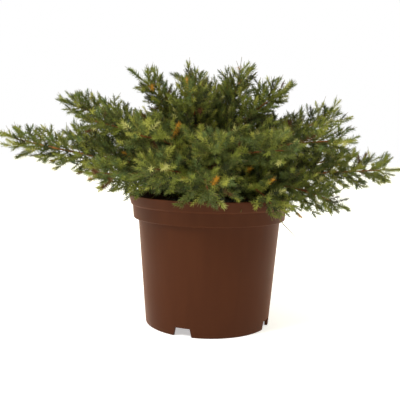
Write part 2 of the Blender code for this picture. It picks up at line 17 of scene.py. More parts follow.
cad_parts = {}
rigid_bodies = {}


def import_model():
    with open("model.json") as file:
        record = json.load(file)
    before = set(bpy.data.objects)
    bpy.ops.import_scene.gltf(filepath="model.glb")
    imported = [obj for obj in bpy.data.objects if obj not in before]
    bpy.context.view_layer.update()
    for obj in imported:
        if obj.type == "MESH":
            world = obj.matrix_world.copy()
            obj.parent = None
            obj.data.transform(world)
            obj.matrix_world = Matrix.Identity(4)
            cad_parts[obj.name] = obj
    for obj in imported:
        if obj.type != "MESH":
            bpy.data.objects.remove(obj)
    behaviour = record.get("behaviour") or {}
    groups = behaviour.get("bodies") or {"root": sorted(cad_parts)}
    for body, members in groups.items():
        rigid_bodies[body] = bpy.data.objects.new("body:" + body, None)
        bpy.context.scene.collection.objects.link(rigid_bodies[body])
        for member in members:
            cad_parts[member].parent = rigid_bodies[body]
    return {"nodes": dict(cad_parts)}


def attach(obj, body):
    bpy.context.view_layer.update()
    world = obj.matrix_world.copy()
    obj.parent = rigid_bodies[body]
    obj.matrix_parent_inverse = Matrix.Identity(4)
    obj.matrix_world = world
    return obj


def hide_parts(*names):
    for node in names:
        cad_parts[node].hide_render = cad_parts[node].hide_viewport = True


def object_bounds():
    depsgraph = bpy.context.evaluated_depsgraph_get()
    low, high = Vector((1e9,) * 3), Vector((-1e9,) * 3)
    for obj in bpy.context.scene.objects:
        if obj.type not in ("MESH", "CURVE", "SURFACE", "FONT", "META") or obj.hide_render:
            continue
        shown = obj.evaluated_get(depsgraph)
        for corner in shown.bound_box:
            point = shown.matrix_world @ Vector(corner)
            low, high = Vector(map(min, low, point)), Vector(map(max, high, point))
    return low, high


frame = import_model()
CAD_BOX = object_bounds()

bl_info = {
    "name": "Potted dwarf juniper",
    "version": (1, 0, 0),
    "blender": (4, 5, 0),
    "location": "3D View > Sidebar > Juniper",
    "description": "Builds the pot, soil, bark, twigs and needles of a potted dwarf juniper",
    "category": "Add Mesh",
}

# The pot's wall, from the same sizes as its solid
LIP_ROUND = 0.0010
BAND_RADIUS = 0.0922
BAND_FOOT = 0.1410
COLLAR_RADIUS = 0.0902
COLLAR_STEP = 0.0016
COLLAR_FOOT_RADIUS = 0.0889
COLLAR_FOOT = 0.1245
BODY_TOP_RADIUS = 0.0833
FOOT_RADIUS = 0.0732
FOOT_ROUND = 0.0014
BASE_LIFT = 0.011
BASE_TOP = 0.013
PAD_RADIUS = 0.018
PAD_DRAFT = 0.0008
POT_SIDES = 144
WALL_RINGS = (0.85, 0.7, 0.55, 0.4, 0.28, 0.18, 0.12)
ROUNDING_STEPS = 4
POT_EDGE_ANGLE = math.radians(30)

# Drainage notches through the foot ring and holes through the base
NOTCH_COUNT = 4
NOTCH_TURN = math.radians(67.6)
NOTCH_FOOT_WIDTH = 0.023
NOTCH_TOP_WIDTH = 0.018
NOTCH_HEIGHT = 0.010
NOTCH_OVERRUN = 0.003
NOTCH_RING_SHARE = 1.06
HOLE_RADIUS = 0.006
HOLE_CIRCLE = 0.050
HOLE_SIDES = 32

# The soil and the crumbs on it
SOIL_TOP = 0.140
SOIL_RADIUS = 0.0879
SOIL_DEPTH = 0.012
SOIL_DRAFT = 0.002
SOIL_RINGS = 26
SOIL_SIDES = 96
SOIL_SWELL = 0.0008
SOIL_SINK = 0.0009
SOIL_LUMP = 0.00625
SOIL_LUMP_FADE = 0.6
SOIL_LUMP_STEP = 2.1
SOIL_LUMP_LAYERS = 4
CRUMB_FORMS = 4
CRUMB_COUNT = 900
CRUMB_SIZE = 0.0017
CRUMB_SIZES = (0.3, 1.0)
CRUMB_SIZE_POWER = 1.5
CRUMB_LUMPS = (0.6, 1.25)
CRUMB_FLATTEN = 0.6
CRUMB_SPREAD = 0.3
CRUMB_MARGIN = 0.003
CRUMB_INNER_SHARE = 0.03
CRUMB_LEAN = 0.5
CRUMB_SPIN = 3
CRUMB_SEED = 5
CRUMB_SIZE_SEED = 3

# The stem
TRUNK_TOP = 0.222
TRUNK_RADIUS = 0.0070
TRUNK_TOP_RADIUS = 0.0034
TRUNK_LEAN = Vector((-0.006, -0.003, 0.0))
TRUNK_WAVE = 0.0018
FLARE_RADIUS = 0.0052
FLARE_HEIGHT = 0.0075
FLARE_LOBES = 3
LOBE_SHARE = 0.22
TRUNK_SINK = 0.002
TRUNK_RINGS = 56
TRUNK_SIDES = 28
TRUNK_SEED = 0.5

# Boughs. Each starts inside the stem's bark, swings a little to one side, and swings back
BOUGH_SEAT = 0.6
SWING = math.radians(11)
SWING_BACK = 0.4
THIRD = 0.33
BOUGH_SIDES = 10
BOUGH_SEED = 3.0
BOUGH_STEP = 0.0035
BOUGH_TAPER = 0.8
STEM_TIP_RADIUS = 0.0006
COLLAR_SWELL = 0.5
COLLAR_LENGTH = 0.004
SPRAY_LENGTH = 0.038
BARK_SHARE = 0.6
LIMB_RINGS_LEAST = 8

# Bark: how deep its ridges and knots are, and how fast they change round and along a limb
RIDGE_DEPTH = 0.13
RIDGES = 2.2
RIDGE_CHANGE = 95
KNOT_DEPTH = 0.08
KNOTS = 0.8
KNOT_CHANGE = 40

# How sprigs stand on a stem: how far apart they are, how long the hanging ones are, how much the
# mass narrows to its tip, and how far the upper and the hanging sprigs curve upwards
Growth = namedtuple("Growth", "spacing hanging taper lift sink")
LOW_GROWTH = Growth(1.0, 0.85, 0.56, 0.12, -0.12)
MIDDLE_GROWTH = Growth(1.0, 0.55, 0.38, 0.26, 0.26)
HIGH_GROWTH = Growth(0.72, 0.55, 0.38, 0.26, 0.26)

# A tier of boughs: the height of its lowest bough, the step up to the next, the levels that the
# boughs share, the radius of a bough's root, how far out a bough ends, half a mass's width, and
# how its sprigs stand
Tier = namedtuple("Tier", "name start step levels root split spread growth boughs")

# A bough: its name, its bearing in degrees from +X towards +Y, how far the tip of its mass
# stands from the pot's axis, the tip's height, and how far the curve rises above a straight
# line at its first and at its last third
LOW = (
    ("right_back", 24, 0.213, 0.200, 0.010, 0.006),
    ("back_right", 56, 0.204, 0.204, 0.014, 0.008),
    ("back", 90, 0.198, 0.208, 0.012, 0.008),
    ("back_left", 124, 0.204, 0.212, 0.012, 0.006),
    ("left_back", 154, 0.220, 0.222, 0.008, 0.002),
    ("left", 183, 0.250, 0.219, 0.006, -0.006),
    ("left_front", 218, 0.164, 0.178, 0.014, 0.012),
    ("front_left", 245, 0.160, 0.188, 0.012, 0.006),
    ("front", 269, 0.152, 0.158, 0.018, 0.022),
    ("front_right", 304, 0.128, 0.137, 0.024, 0.034),
    ("right_front", 332, 0.168, 0.143, 0.018, 0.026),
    ("right", 358, 0.226, 0.187, 0.004, 0.000),
)
MIDDLE = (
    ("left", 168, 0.194, 0.263, 0.008, 0.004),
    ("left_front", 198, 0.158, 0.238, 0.012, 0.008),
    ("front_left", 234, 0.146, 0.220, 0.008, 0.008),
    ("front", 271, 0.142, 0.206, 0.008, 0.010),
    ("front_right", 307, 0.146, 0.206, 0.008, 0.010),
    ("right_front", 339, 0.168, 0.218, 0.008, 0.008),
    ("right", 8, 0.160, 0.251, 0.008, 0.004),
    ("back_right", 52, 0.152, 0.242, 0.008, 0.006),
    ("back_left", 118, 0.152, 0.246, 0.008, 0.006),
)
HIGH = (
    ("right_side", 342, 0.100, 0.280, 0.008, 0.004),
    ("right", 8, 0.052, 0.305, 0.004, 0.002),
    ("left", 184, 0.097, 0.296, 0.006, 0.002),
    ("back", 78, 0.090, 0.286, 0.010, 0.006),
    ("front", 252, 0.084, 0.277, 0.010, 0.006),
)
TIERS = (
    Tier("low", 0.152, 0.0080, 3, 0.0027, 0.046, 0.050, LOW_GROWTH, LOW),
    Tier("middle", 0.178, 0.0075, 3, 0.0023, 0.028, 0.046, MIDDLE_GROWTH, MIDDLE),
    Tier("high", 0.2025, 0.0075, 2, 0.0019, 0.016, 0.036, HIGH_GROWTH, HIGH),
)

# The leader: its tip, half its mass's width, its root in the stem's top, and where its curve bends
CROWN_TIP = Vector((-0.030, -0.010, 0.306))
CROWN_SPREAD = 0.034
CROWN_SINK = 0.004
CROWN_ROOT_SHARE = 0.95
CROWN_RISE = 0.35
CROWN_FALL = 0.3

# Sprigs on a stem. The upright ones set how thick a mass is
GOLDEN_TURN = math.radians(137.5)
SPRIG_SEED = 31
SPRIG_START = 0.004
INNER_SHARE = 0.45
SPRIG_LEAN = math.radians(52)
SPRIG_LEAN_SPREAD = 0.16
SPRIG_FORWARD = 0.25
SPRIG_SHORTEST = 0.72
SPRIG_BARE = 0.16
SPRIG_RADIUS = 0.0007
TWIG_TAPER = 0.6
TWIG_SIDES = 3
SPRIG_STEPS = 4
SHOOT_STEPS = 2
UPRIGHT = 0.034
UPRIGHT_SHARE = 0.92
TAPER_POWER = 1.6
THINNING = 0.25
TIP_ROOM_SHARE = 0.75
TIP_SPRIG_SHARE = 0.97
TIP_SPRIG_RISE = 0.05
# Inner and hanging sprigs get darker needle tints: partly older needles, partly painted shade inside and
# under the masses
INNER_FRESHNESS_AND_LIGHT = 0.35
HANGING_PAINTED_SHADE = 0.75
HANGING_FROM = -0.3

# Side shoots on a sprig lie near its plane, and now and then one stands up
SIDE_LEAN = math.radians(44)
SIDE_LEAN_SPREAD = 0.15
SIDE_FLATTEN = 0.62
SIDE_UPTURN = 0.9
SIDE_UPTURN_CHANCE = 0.22
SIDE_FORWARD = 0.35
SIDE_RISE = 0.25
SIDE_END_ROOM = 0.006
SIDE_LEAST = 0.008
SIDE_GAIN = 0.40
SIDE_MOST = 0.0175
SIDE_LENGTHS = (0.78, 1.15)
SIDE_STEPS = (0.85, 1.2)
SIDE_BARE = 0.0015
SIDE_THINNER = 0.7
# Side shoots near a sprig's root get darker tints: partly older needles, partly painted shade deeper in the
# mass
ROOT_FRESHNESS_AND_LIGHT = 0.5
LOOK_AHEAD = 0.002

# Needles. They stand in whorls of three, and the whorls in clusters along a shoot
CLUSTER_SEED = 9
CLUSTER_SIZE_SEED = 11
CLUSTER_SIZE_SPREAD = 0.08
CLUSTER_SIZES = (0.92, 1.08)
CLUSTER_FORMS = 3
CLUSTER_LENGTH = 0.0078
CLUSTER_SHRINK = 0.14
CLUSTER_LOOK_AHEAD = 0.003
CLUSTER_ROLL = 2.0
WHORLS = 5
WHORL_PITCH = 0.0016
NEEDLE_TILT = math.radians(64)
NEEDLE_TILT_SPREAD = 0.10
NEEDLE_TURN_SPREAD = 0.25
NEEDLE_LENGTHS = (0.86, 1.1)
TIP_TILT_STEP = math.radians(7)
TIP_PITCH_SHARE = 0.8
TIP_LENGTH_SHARE = 0.9
NEEDLE_FLATTEN = 0.5
NEEDLE_ROOT = 0.0002
TIP_NEEDLE_SHARE = 0.8
TIP_NEEDLE_SPLAY = 0.22
TIP_NEEDLE_TURN = 0.4
TIP_NEEDLE_START = 0.75
RIM_ROOM = 0.003

# A bare twig that hangs from the front right of the crown
BARE_TWIG = (
    (0.066, -0.098, 0.143),
    (0.074, -0.106, 0.132),
    (0.081, -0.109, 0.125),
    (0.087, -0.110, 0.119),
)

# The finishes of the needles: a name, a colour, and its share inside the crown and at the tips. The dark
# shares inside the crown are partly older needles and partly painted shade.
TINTS = (
    # The shade tint is painted shade: a near-black green dealt mostly to shoots inside the crown
    ("shade", "#2F3614", 0.30, 0.01),
    ("deep", "#4C5623", 0.32, 0.09),
    ("olive", "#616B2B", 0.20, 0.24),
    ("bluish", "#5C6D38", 0.08, 0.13),
    ("bright", "#7F8733", 0.06, 0.33),
    ("fresh", "#9B9D43", 0.02, 0.18),
    ("pale", "#B8B66C", 0.00, 0.04),
    ("gold", "#B98522", 0.006, 0.005),
    ("withered", "#5E3C1E", 0.03, 0.005),
)

# The sizes of the finishes' patterns, each from one mark to the next
FLOW_MARKS = 0.0091
PLASTIC_CLOUDS = 0.0556
MOULD_GRAIN = 0.0008
SOIL_FIBRES = 0.00208
BARK_STRIPS = 0.00156
PAPER_FIBRES = 0.00333
FLOW_STRETCH = 0.12
STRIP_STRETCH = 0.10

# The camera stands where the photograph was taken from: its place, tilt and roll, and its lens
CAMERA_PLACE = Vector((-0.01125, -0.7265, 0.2167))
CAMERA_TILT = math.radians(-5.65)
CAMERA_ROLL = math.radians(1.22)
CAMERA_LENS = 55.53
CAMERA_SENSOR = 36.0

# The studio: its floor, the light of the room, and two round lamps that face the plant's middle
FLOOR_REACH = 6.0
FLOOR_GLOW = 0.50
ROOM_LIGHT = 0.22
ROOM_COLOUR = "#FFFCE2"
LIT_FROM_BEHIND = (-0.25, 0.35)
LIT_FROM_ABOVE = (0.35, 0.9)
PLANT_MIDDLE = Vector((0.0, 0.0, 0.18))
Lamp = namedtuple("Lamp", "name place size power")
LAMPS = (
    Lamp("key", Vector((-1.15, -0.8, 1.4)), 0.7, 31.0),
    Lamp("side", Vector((1.3, -0.3, 0.9)), 0.6, 6.0),
)

X = Vector((1.0, 0.0, 0.0))
Z = Vector((0.0, 0.0, 1.0))

# Where a heading comes this close to +Z, its side is found from +X instead
STEEP = 0.95

# Faces that meet at more than this angle have a sharp edge between them
EDGE_ANGLE = math.radians(38)

# A curve is read at this many points, and its heading over one of this many parts on either side
PATH_POINTS = 60
PATH_PARTS = 30

# What a scattered form's spot holds besides its place: a name, its kind, and its field there
SPOT_VALUES = (("turn", "FLOAT_VECTOR", "vector"), ("size", "FLOAT", "value"), ("form", "INT", "value"))


def linear(hex_colour):
    """A hex colour as the linear numbers that a shader takes."""
    values = [int(hex_colour[i : i + 2], 16) / 255 for i in (1, 3, 5)]
    return [v / 12.92 if v <= 0.04045 else ((v + 0.055) / 1.055) ** 2.4 for v in values]


def size_property(name, description, default):
    """A length that a user may change."""
    return bpy.props.FloatProperty(
        name=name, description=description, default=default, min=0.0, unit="LENGTH", precision=4
    )


def colour_property(name, description, hex_colour):
    """A colour that a user may change."""
    return bpy.props.FloatVectorProperty(
        name=name, description=description, default=linear(hex_colour), subtype="COLOR", min=0.0, max=1.0
    )


class JuniperSizes(bpy.types.PropertyGroup):
    """The sizes that a user may change"""

    rim_radius: size_property("Rim radius", "Outer radius of the pot's rim", 0.095)
    pot_height: size_property("Pot height", "Height of the pot", 0.152)
    wall: size_property("Wall", "Thickness of the pot's wall", 0.0021)
    needle_length: size_property("Needle length", "Length of a needle", 0.0056)
    needle_width: size_property("Needle width", "Width of a needle at its root", 0.00130)
    sprig_pitch: size_property("Sprig pitch", "Distance along a stem from sprig to sprig", 0.0030)
    side_pitch: size_property("Side shoot pitch", "Distance along a sprig between side shoots", 0.0050)


class JuniperColours(bpy.types.PropertyGroup):
    """The colours that a user may change"""

    pot: colour_property("Pot", "The pot's brown plastic", "#452413")
    soil: colour_property("Soil", "Moist potting soil", "#1E1B15")
    bark: colour_property("Bark", "Young bark on the stem and boughs", "#A4602C")
    bark_dark: colour_property("Old bark", "Weathered bark in the hollows", "#5E3218")
    twig: colour_property("Twig", "The green-brown skin of young twigs", "#6E6428")


def add_node(tree, kind, inputs=None, **settings):
    """One node of a tree with its settings, and with its inputs set or linked."""
    node = tree.nodes.new(kind)
    for name, value in settings.items():
        setattr(node, name, value)
    for name, value in (inputs or {}).items():
        if isinstance(value, bpy.types.NodeSocket):
            tree.links.new(value, node.inputs[name])
        else:
            node.inputs[name].default_value = value
    return node


def new_material(name, colour, roughness, **sockets):
    """A material with a Principled shader, its tree and its shader."""
    material = bpy.data.materials.new(name)
    material.use_nodes = True
    shader = material.node_tree.nodes["Principled BSDF"]
    shader.inputs["Base Color"].default_value = (*colour, 1.0)
    shader.inputs["Roughness"].default_value = roughness
    for socket, value in sockets.items():
        shader.inputs[socket.replace("_", " ")].default_value = value
    return material, material.node_tree, shader


def shaded(colour, factor):
    """A colour made darker or lighter, as a socket takes it."""
    return (*[min(1.0, channel * factor) for channel in colour], 1.0)


def two_tones(tree, shader, pattern, low, high, dark, light):
    """A base colour that goes from a dark to a light one as a pattern goes from low to high."""
    ramp = add_node(tree, "ShaderNodeMapRange", {"Value": pattern, "From Min": low, "From Max": high})
    tones = {"Factor": ramp.outputs[0], "A": dark, "B": light}
    tone = add_node(tree, "ShaderNodeMix", tones, data_type="RGBA")
    tree.links.new(tone.outputs["Result"], shader.inputs["Base Color"])


def pot_plastic(colour):
    """Injection-moulded polypropylene: a soft sheen, faint upright flow marks, a fine matt grain."""
    # Light that grazes the wall comes back warm from just under its skin
    material, tree, shader = new_material(
        "moulded_polypropylene",
        colour,
        0.45,
        IOR=1.49,
        Specular_IOR_Level=0.06,
        Sheen_Weight=0.45,
        Sheen_Roughness=0.35,
        Sheen_Tint=(*linear("#B4692C"), 1.0),
    )
    place = add_node(tree, "ShaderNodeTexCoord").outputs["Object"]
    # Flow marks run up the wall, about 9 mm apart and much longer than wide
    stretch = add_node(tree, "ShaderNodeMapping", {"Vector": place, "Scale": (1, 1, FLOW_STRETCH)})
    marks = add_node(
        tree, "ShaderNodeTexNoise", {"Vector": stretch.outputs[0], "Scale": 1 / FLOW_MARKS, "Detail": 3.0}
    )
    clouds = add_node(
        tree, "ShaderNodeTexNoise", {"Vector": place, "Scale": 1 / PLASTIC_CLOUDS, "Detail": 4.0}
    ).outputs["Fac"]
    mixed = add_node(tree, "ShaderNodeMath", {0: marks.outputs["Fac"], 1: clouds}, operation="ADD")
    two_tones(tree, shader, mixed.outputs[0], 0.7, 1.3, shaded(colour, 0.93), shaded(colour, 1.07))
    dullness = add_node(
        tree,
        "ShaderNodeMapRange",
        {"Value": clouds, "From Min": 0.3, "From Max": 0.7, "To Min": 0.40, "To Max": 0.54},
    )
    tree.links.new(dullness.outputs[0], shader.inputs["Roughness"])
    # The mould's grain is 0.4 mm across, drawn at 0.8 mm so that it shows
    grain = add_node(tree, "ShaderNodeTexNoise", {"Vector": place, "Scale": 1 / MOULD_GRAIN})
    relief = {"Height": grain.outputs["Fac"], "Strength": 0.10, "Distance": 0.0002}
    tree.links.new(add_node(tree, "ShaderNodeBump", relief).outputs[0], shader.inputs["Normal"])
    return material


def potting_soil(colour):
    """Moist peat and bark compost: near black, with brown fibres, and quite rough."""
    material, tree, shader = new_material("moist_peat_compost", colour, 0.92)
    place = add_node(tree, "ShaderNodeTexCoord").outputs["Object"]
    # Fibres and crumbs are about 2 mm across
    fibres = add_node(
        tree, "ShaderNodeTexNoise", {"Vector": place, "Scale": 1 / SOIL_FIBRES, "Detail": 6.0}
    ).outputs["Fac"]
    two_tones(tree, shader, fibres, 0.35, 0.75, shaded(colour, 0.6), shaded(colour, 3.2))
    relief = {"Height": fibres, "Strength": 0.7, "Distance": 0.0008}
    tree.links.new(add_node(tree, "ShaderNodeBump", relief).outputs[0], shader.inputs["Normal"])
    return material


def fibrous_bark(colour, dark):
    """Young juniper bark: thin orange-brown strips that peel along the limb over darker hollows."""
    material, tree, shader = new_material("peeling_juniper_bark", colour, 0.82)
    grain = add_node(tree, "ShaderNodeAttribute", attribute_name="grain").outputs["Vector"]
    # Strips are about 1.5 mm wide and ten times as long
    stretch = add_node(tree, "ShaderNodeMapping", {"Vector": grain, "Scale": (1, 1, STRIP_STRETCH)})
    strips = add_node(
        tree, "ShaderNodeTexNoise", {"Vector": stretch.outputs[0], "Scale": 1 / BARK_STRIPS, "Detail": 5.0}
    ).outputs["Fac"]
    two_tones(tree, shader, strips, 0.36, 0.62, (*dark, 1.0), shaded(colour, 1.15))
    relief = {"Height": strips, "Strength": 0.8, "Distance": 0.0005}
    tree.links.new(add_node(tree, "ShaderNodeBump", relief).outputs[0], shader.inputs["Normal"])
    return material


def waxy_needles(name, hex_colour):
    """Live juniper needles: a thin wax bloom softens their gloss. One plain colour for a shoot."""
    return new_material(f"juniper_needles_{name}", linear(hex_colour), 0.62, Specular_IOR_Level=0.3)[0]


def green_twig(colour):
    """The skin of young juniper twigs, smooth and a little waxy."""
    return new_material("green_juniper_twig", colour, 0.65)[0]


def studio_paper():
    """White studio paper, smooth and matt, that glows a little so that it stays white."""
    material, tree, shader = new_material(
        "white_studio_paper",
        linear("#F7F7F7"),
        0.9,
        Emission_Color=(*linear("#FFFFFF"), 1.0),
        Emission_Strength=FLOOR_GLOW,
    )
    place = add_node(tree, "ShaderNodeTexCoord").outputs["Object"]
    fibres = add_node(tree, "ShaderNodeTexNoise", {"Vector": place, "Scale": 1 / PAPER_FIBRES})
    relief = {"Height": fibres.outputs["Fac"], "Strength": 0.02, "Distance": 0.0002}
    tree.links.new(add_node(tree, "ShaderNodeBump", relief).outputs[0], shader.inputs["Normal"])
    return material


def link(name, data, material=None):
    """An object of a mesh, curve, light or lens, placed in the scene."""
    thing = bpy.data.objects.new(name, data)
    bpy.context.scene.collection.objects.link(thing)
    if material:
        data.materials.append(material)
    return thing


def mesh_object(name, points, faces, material=None, smooth=True):
    """An object of its own mesh, with every face turned outwards."""
    mesh = bpy.data.meshes.new(name)
    mesh.from_pydata([tuple(point) for point in points], [], faces)
    shape = bmesh.new()
    shape.from_mesh(mesh)
    bmesh.ops.recalc_face_normals(shape, faces=shape.faces)
    shape.to_mesh(mesh)
    shape.free()
    if smooth:
        mesh.shade_smooth()
        mesh.set_sharp_from_angle(angle=EDGE_ANGLE)
    return link(name, mesh, material)


def settle(thing, name):
    """The evaluated result of an object's modifiers as a plain mesh object in its place."""
    graph = bpy.context.evaluated_depsgraph_get()
    mesh = bpy.data.meshes.new_from_object(thing.evaluated_get(graph), depsgraph=graph)
    bpy.data.objects.remove(thing, do_unlink=True)
    mesh.name = name
    return link(name, mesh)


def place_piece(piece, nodes):
    """Hands a finished piece over to the root body, and hides the solids that it stands for."""
    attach(piece, "root")
    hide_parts(*nodes)


def nodes_named(start):
    """The solids whose names start with these letters."""
    return sorted(name for name in frame["nodes"] if name.startswith(start))


def turned(profile, sides):
    """Points and faces of a shape turned round Z. The profile's two ends lie on the axis."""
    rings = profile[1:-1]
    points = [(0, 0, profile[0][1]), (0, 0, profile[-1][1])]
    for radius, height in rings:
        for side in range(sides):
            angle = math.tau * side / sides
            points.append((radius * math.cos(angle), radius * math.sin(angle), height))

    def index(ring, side):
        return 2 + ring * sides + side % sides

    faces = []
    for side in range(sides):
        faces.append((0, index(0, side), index(0, side + 1)))
        faces.append((1, index(len(rings) - 1, side + 1), index(len(rings) - 1, side)))
        for ring in range(len(rings) - 1):
            low, high = index(ring, side), index(ring, side + 1)
            faces.append((low, index(ring + 1, side), index(ring + 1, side + 1), high))
    return points, faces


def rounded(corners):
    """A profile with its corners rounded. A corner is a radius, a height and its rounding."""
    points = []
    for number, (radius, height, bend) in enumerate(corners):
        here = Vector((radius, height))
        if not bend:
            points.append(tuple(here))
            continue
        before = here + (Vector(corners[number - 1][:2]) - here).normalized() * bend
        after = here + (Vector(corners[number + 1][:2]) - here).normalized() * bend
        for step in range(ROUNDING_STEPS + 1):
            share = step / ROUNDING_STEPS
            point = before * (1 - share) ** 2 + here * 2 * share * (1 - share) + after * share**2
            points.append(tuple(point))
    return points


def wall_rings():
    """Rings down the wall, one of them close above the drainage notches."""
    heights = [COLLAR_FOOT * share for share in WALL_RINGS]
    heights.append(NOTCH_HEIGHT * NOTCH_RING_SHARE)
    slope = (BODY_TOP_RADIUS - FOOT_RADIUS) / COLLAR_FOOT
    return [(FOOT_RADIUS + slope * height, height, 0) for height in heights]


def pot_profile(sizes):
    """The pot's section from the middle of its base, up the inside, over the rim and down to the pad."""
    wall, rim, top = sizes.wall, sizes.rim_radius, sizes.pot_height
    foot = FOOT_RADIUS - FOOT_ROUND - wall
    return rounded(
        [
            (0, BASE_TOP, 0),
            (FOOT_RADIUS - wall, BASE_TOP, 0.0015),
            (BODY_TOP_RADIUS - wall, COLLAR_FOOT + wall * 0.5, 0.0004),
            (COLLAR_FOOT_RADIUS - wall, COLLAR_FOOT + wall * 2, 0.0004),
            (COLLAR_RADIUS - wall, BAND_FOOT - COLLAR_STEP, 0.0003),
            (BAND_RADIUS - wall, BAND_FOOT + COLLAR_STEP, 0.0003),
            (rim - wall, top, LIP_ROUND),
            (rim, top, LIP_ROUND),
            (BAND_RADIUS, BAND_FOOT, 0.0005),
            (COLLAR_RADIUS, BAND_FOOT - COLLAR_STEP, 0.0005),
            (COLLAR_FOOT_RADIUS, COLLAR_FOOT, 0.0013),
            (BODY_TOP_RADIUS, COLLAR_FOOT, 0.0009),
            *wall_rings(),
            (FOOT_RADIUS, 0, FOOT_ROUND),
            (foot, 0, 0.0005),
            (foot, BASE_LIFT, 0.001),
            (PAD_RADIUS + PAD_DRAFT, BASE_LIFT, 0.0004),
            (PAD_RADIUS, 0, 0.0004),
            (0, 0, 0),
        ]
    )


def notch_cutter(number, turn, wall):
    """A wedge through the foot ring, narrower at its top than at the ground."""
    corners = []
    for radius in (FOOT_RADIUS - 4 * wall, FOOT_RADIUS + 3 * wall):
        for height, width in ((-NOTCH_OVERRUN, NOTCH_FOOT_WIDTH), (NOTCH_HEIGHT, NOTCH_TOP_WIDTH)):
            corners += [(radius, -width / 2, height), (radius, width / 2, height)]
    faces = [(0, 1, 3, 2), (4, 6, 7, 5), (0, 4, 5, 1), (2, 3, 7, 6), (0, 2, 6, 4), (1, 5, 7, 3)]
    spin = Matrix.Rotation(turn, 3, "Z")
    points = [spin @ Vector(corner) for corner in corners]
    return mesh_object(f"notch_cutter_{number}", points, faces, smooth=False)


def hole_cutter(number, turn, wall):
    """A round plug through the base, in line with a notch."""
    profile = [(0, BASE_LIFT - wall), (HOLE_RADIUS, BASE_LIFT - wall)]
    profile += [(HOLE_RADIUS, BASE_TOP + wall), (0, BASE_TOP + wall)]
    points, faces = turned(profile, HOLE_SIDES)
    shift = Vector((HOLE_CIRCLE * math.cos(turn), HOLE_CIRCLE * math.sin(turn), 0))
    moved = [Vector(point) + shift for point in points]
    return mesh_object(f"hole_cutter_{number}", moved, faces, smooth=False)


class JUNIPER_OT_pot(bpy.types.Operator):
    """Mould the round nursery pot with its rim band, collar, drainage notches and holes"""

    bl_idname = "juniper.pot"
    bl_label = "Pot"

    def execute(self, context):
        sizes = context.scene.juniper_sizes
        points, faces = turned(pot_profile(sizes), POT_SIDES)
        pot = mesh_object("pot_wall", points, faces)
        cutters = []
        for number in range(NOTCH_COUNT):
            turn = NOTCH_TURN + math.tau * number / NOTCH_COUNT
            cutters.append(notch_cutter(number, turn, sizes.wall))
            cutters.append(hole_cutter(number, turn, sizes.wall))
        for cutter in cutters:
            cut = pot.modifiers.new(cutter.name, "BOOLEAN")
            cut.operation = "DIFFERENCE"
            cut.solver = "EXACT"
            cut.object = cutter
        pot = settle(pot, "pot_wall")
        for cutter in cutters:
            bpy.data.objects.remove(cutter, do_unlink=True)
        pot.data.set_sharp_from_angle(angle=POT_EDGE_ANGLE)
        pot.data.materials.clear()
        pot.data.materials.append(pot_plastic(context.scene.juniper_colours.pot))
        place_piece(pot, ["pot"])
        return {"FINISHED"}


def new_tree(name, inputs):
    """A geometry tree with named inputs. Returns it, its input node and each input's identifier."""
    tree = bpy.data.node_groups.new(name, "GeometryNodeTree")
    tree.interface.new_socket("Geometry", in_out="INPUT", socket_type="NodeSocketGeometry")
    names = {}
    for label, kind in inputs.items():
        names[label] = tree.interface.new_socket(label, in_out="INPUT", socket_type=kind).identifier
    tree.interface.new_socket("Geometry", in_out="OUTPUT", socket_type="NodeSocketGeometry")
    return tree, tree.nodes.new("NodeGroupInput"), names


def end_tree(tree, geometry, given):
    """Ends a geometry tree: its copies are made real and get their finish."""
    real = add_node(tree, "GeometryNodeRealizeInstances", {"Geometry": geometry})
    coat = {"Geometry": real.outputs[0], "Material": given.outputs["Finish"]}
    finish = add_node(tree, "GeometryNodeSetMaterial", coat)
    add_node(tree, "NodeGroupOutput", {"Geometry": finish.outputs[0]})


def grown(thing, tree, names, values, name):
    """What a geometry tree makes of an object with these values of its inputs, as a plain mesh."""
    modifier = thing.modifiers.new(tree.name, "NODES")
    modifier.node_group = tree
    for label, value in values.items():
        modifier[names[label]] = value
    return settle(thing, name)


def scatter_tree():
    """Stands a form from a collection on each point, turned and sized by the point's attributes."""
    tree, given, names = new_tree(
        "scatter_forms",
        {
            "Forms": "NodeSocketCollection",
            "Finish": "NodeSocketMaterial",
            "Least size": "NodeSocketFloat",
            "Greatest size": "NodeSocketFloat",
            "Seed": "NodeSocketInt",
        },
    )
    forms = add_node(
        tree,
        "GeometryNodeCollectionInfo",
        {"Collection": given.outputs["Forms"], "Separate Children": True, "Reset Children": True},
    )
    spot = {}
    for label, kind, _ in SPOT_VALUES:
        read = add_node(tree, "GeometryNodeInputNamedAttribute", {"Name": label}, data_type=kind)
        spot[label] = read.outputs[0]
    vary = add_node(tree, "FunctionNodeRandomValue", data_type="FLOAT")
    numbers = [socket for socket in vary.inputs if socket.type == "VALUE"]
    tree.links.new(given.outputs["Least size"], numbers[0])
    tree.links.new(given.outputs["Greatest size"], numbers[1])
    tree.links.new(given.outputs["Seed"], vary.inputs["Seed"])
    varied = [socket for socket in vary.outputs if socket.type == "VALUE"][0]
    scale = add_node(tree, "ShaderNodeMath", {0: spot["size"], 1: varied}, operation="MULTIPLY")
    points = add_node(tree, "GeometryNodeMeshToPoints", {"Mesh": given.outputs["Geometry"]})
    stand = add_node(
        tree,
        "GeometryNodeInstanceOnPoints",
        {
            "Points": points.outputs[0],
            "Instance": forms.outputs[0],
            "Pick Instance": True,
            "Instance Index": spot["form"],
            "Rotation": spot["turn"],
            "Scale": scale.outputs[0],
        },
    )
    end_tree(tree, stand.outputs[0], given)
    return tree, names


